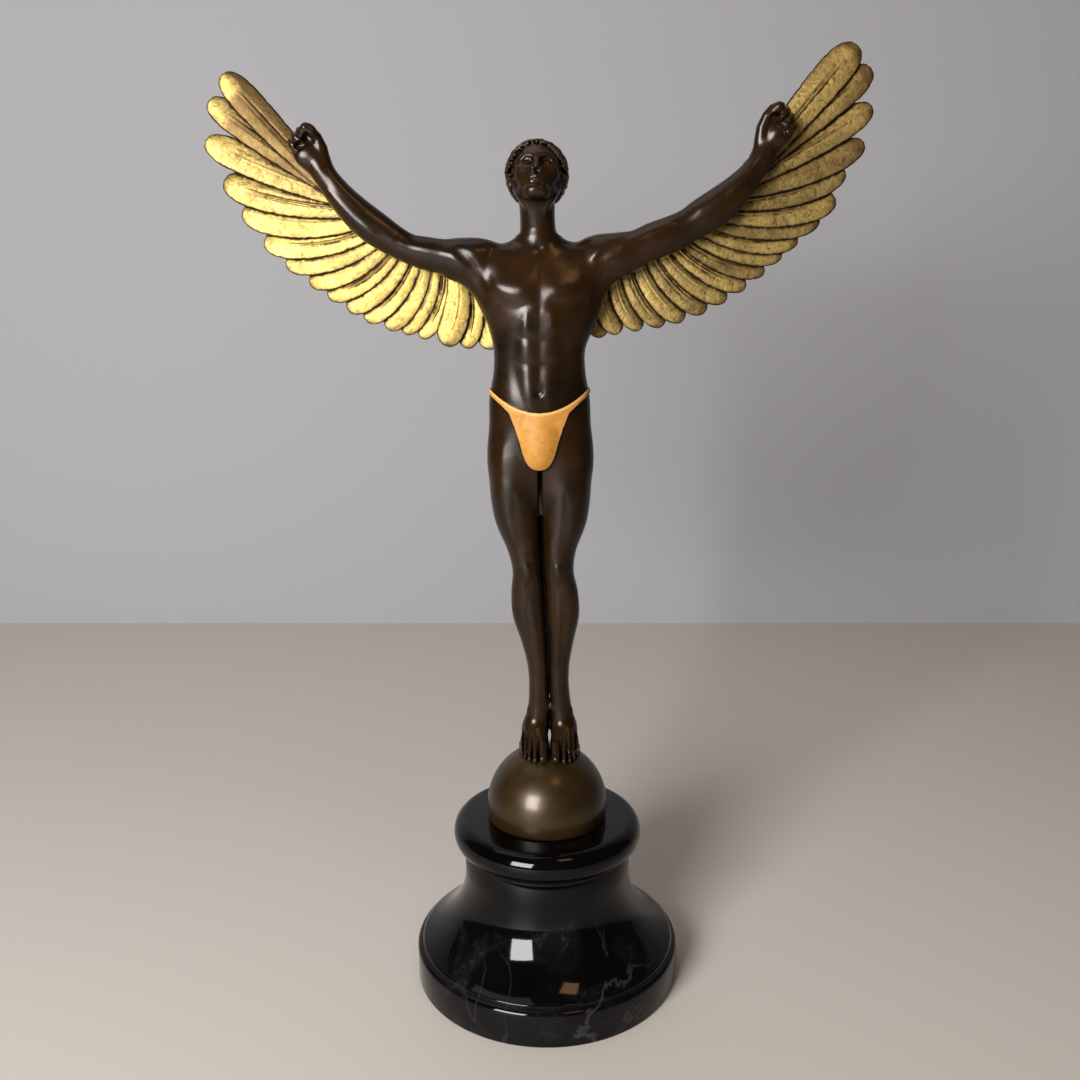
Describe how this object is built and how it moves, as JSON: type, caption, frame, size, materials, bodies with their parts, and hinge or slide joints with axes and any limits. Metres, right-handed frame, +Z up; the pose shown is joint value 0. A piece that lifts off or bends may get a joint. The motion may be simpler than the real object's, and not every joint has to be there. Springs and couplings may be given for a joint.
{
  "type": "bronze icarus statue on a marble socle",
  "caption": "Table bronze: slender nude with painted loincloth on a ball, head back and fists raised, with a gilt feathered wing behind each arm, on a turned black marble socle.",
  "frame": {"origin": "centre of the marble socle's underside", "axes": "+Z up, the figure faces -Y, its right hand and right wing are towards -X"},
  "size_m": [0.3403, 0.15, 0.5061],
  "materials": {
    "black_marble": "polished black marble with faint grey veins",
    "ball_bronze": "polished brown patinated bronze",
    "figure_bronze": "satin dark brown patinated bronze, loincloth painted orange-yellow",
    "gilt_bronze": "gilt bronze with dark brown patina in the grooves"
  },
  "bodies": {
    "root": {"marble_base": "black_marble", "bronze_ball": "ball_bronze", "icarus_figure": "figure_bronze", "right_wing": "gilt_bronze", "left_wing": "gilt_bronze"}
  },
  "joints": []
}
